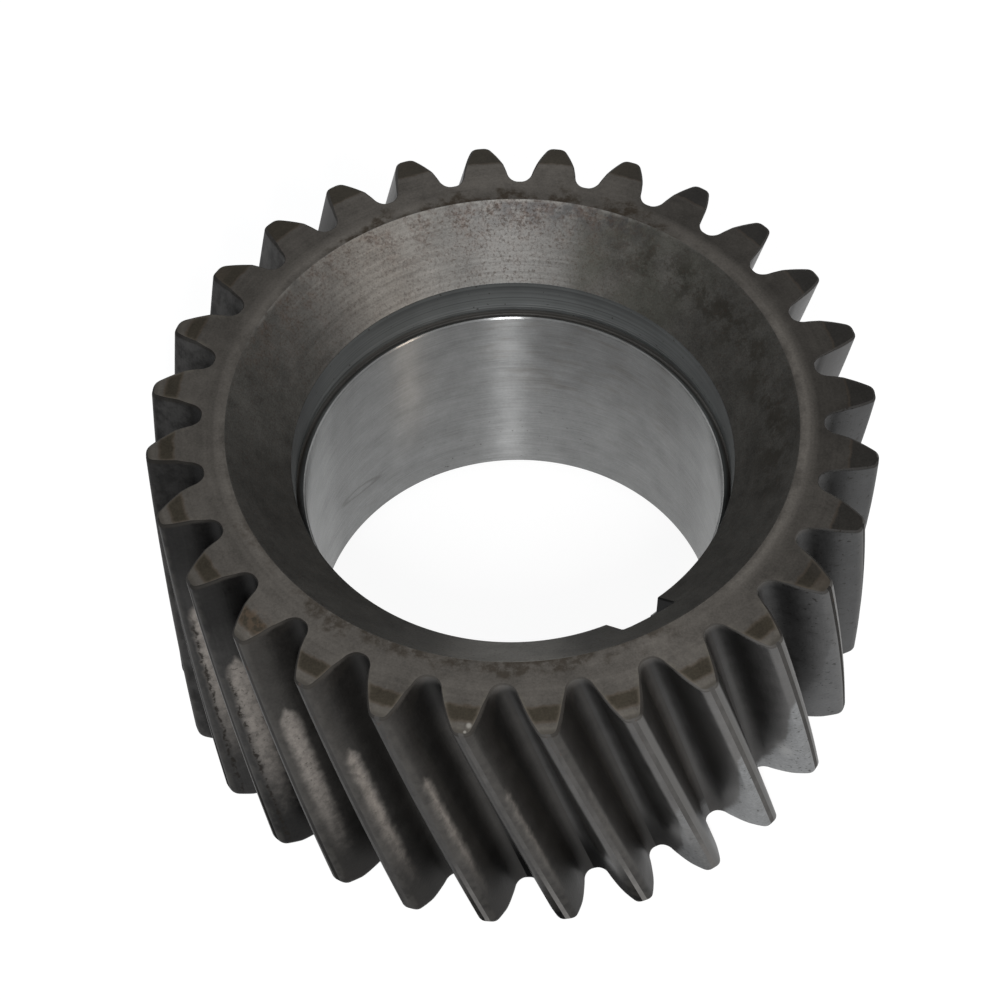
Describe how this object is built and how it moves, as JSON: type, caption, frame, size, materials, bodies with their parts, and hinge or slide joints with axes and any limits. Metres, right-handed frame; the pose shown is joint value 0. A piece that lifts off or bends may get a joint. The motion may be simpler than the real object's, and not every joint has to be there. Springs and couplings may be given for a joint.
{
  "type": "helical gear wheel",
  "caption": "One-piece steel helical gear wheel with a dished front mouth, a large plain bore and a keyway, for a keyed shaft.",
  "frame": {"origin": "on the wheel's axis, in the plane of the rear end face", "axes": "+Z along the bore axis towards the dished front face; the keyway points 59 degrees from +X towards -Y"},
  "size_m": [0.1236, 0.1236, 0.0645],
  "materials": {
    "steel": "turned and polished steel, dark and oily in the tooth gaps, with light rust specks in the dish"
  },
  "bodies": {
    "root": {"gear_wheel": "steel"}
  },
  "joints": []
}
